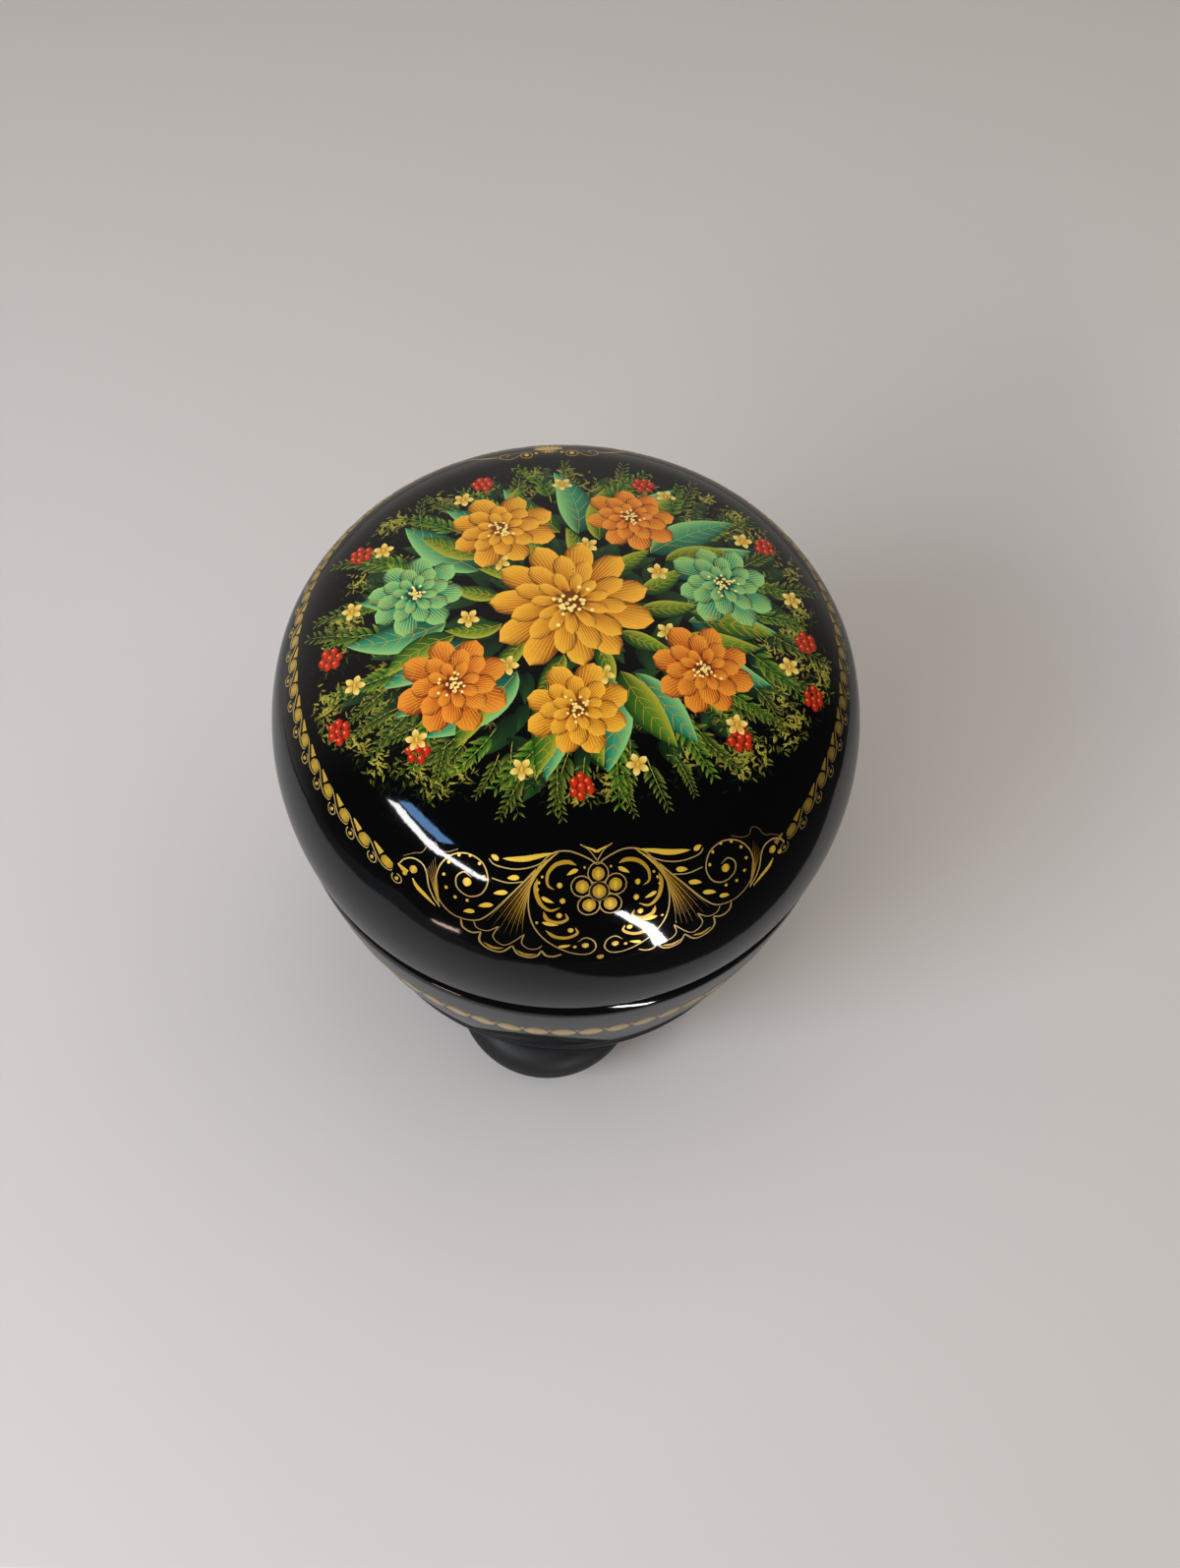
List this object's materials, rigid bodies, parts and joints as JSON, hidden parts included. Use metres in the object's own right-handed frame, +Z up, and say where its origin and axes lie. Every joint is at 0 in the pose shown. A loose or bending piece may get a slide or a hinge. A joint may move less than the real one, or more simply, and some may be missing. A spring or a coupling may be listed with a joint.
{
  "type": "lacquer box",
  "caption": "Round papier-mache keepsake box with a domed lift-off lid, a low tapering body and turned feet, in black lacquer with gold ornament.",
  "frame": {"origin": "on the box's axis, at the level that the feet stand on", "axes": "+Z up along the box's axis; -Y to the front, where the front foot is; +X to the right seen from the front"},
  "size_m": [0.1, 0.1, 0.1042],
  "materials": {
    "lid_lacquer": "polished black lacquer with gold and colour painting",
    "body_lacquer": "polished black lacquer with gold ornament",
    "inside_lacquer": "satin red lacquer",
    "foot_lacquer": "satin black lacquer",
    "dowel_wood": "plain"
  },
  "bodies": {
    "box": {"body_wall": "body_lacquer", "body_floor": "inside_lacquer", "rim_lip": "inside_lacquer", "foot_front": "foot_lacquer", "foot_back_left": "foot_lacquer", "foot_back_right": "foot_lacquer", "foot_dowels": "dowel_wood"},
    "lid": {"lid_dome": "lid_lacquer", "lid_wall": "lid_lacquer"}
  },
  "joints": [
    {"name": "lid_lift", "type": "slide", "parent": "box", "child": "lid", "axis": [0, 0, 1], "range_m": [0, 0.06]}
  ]
}
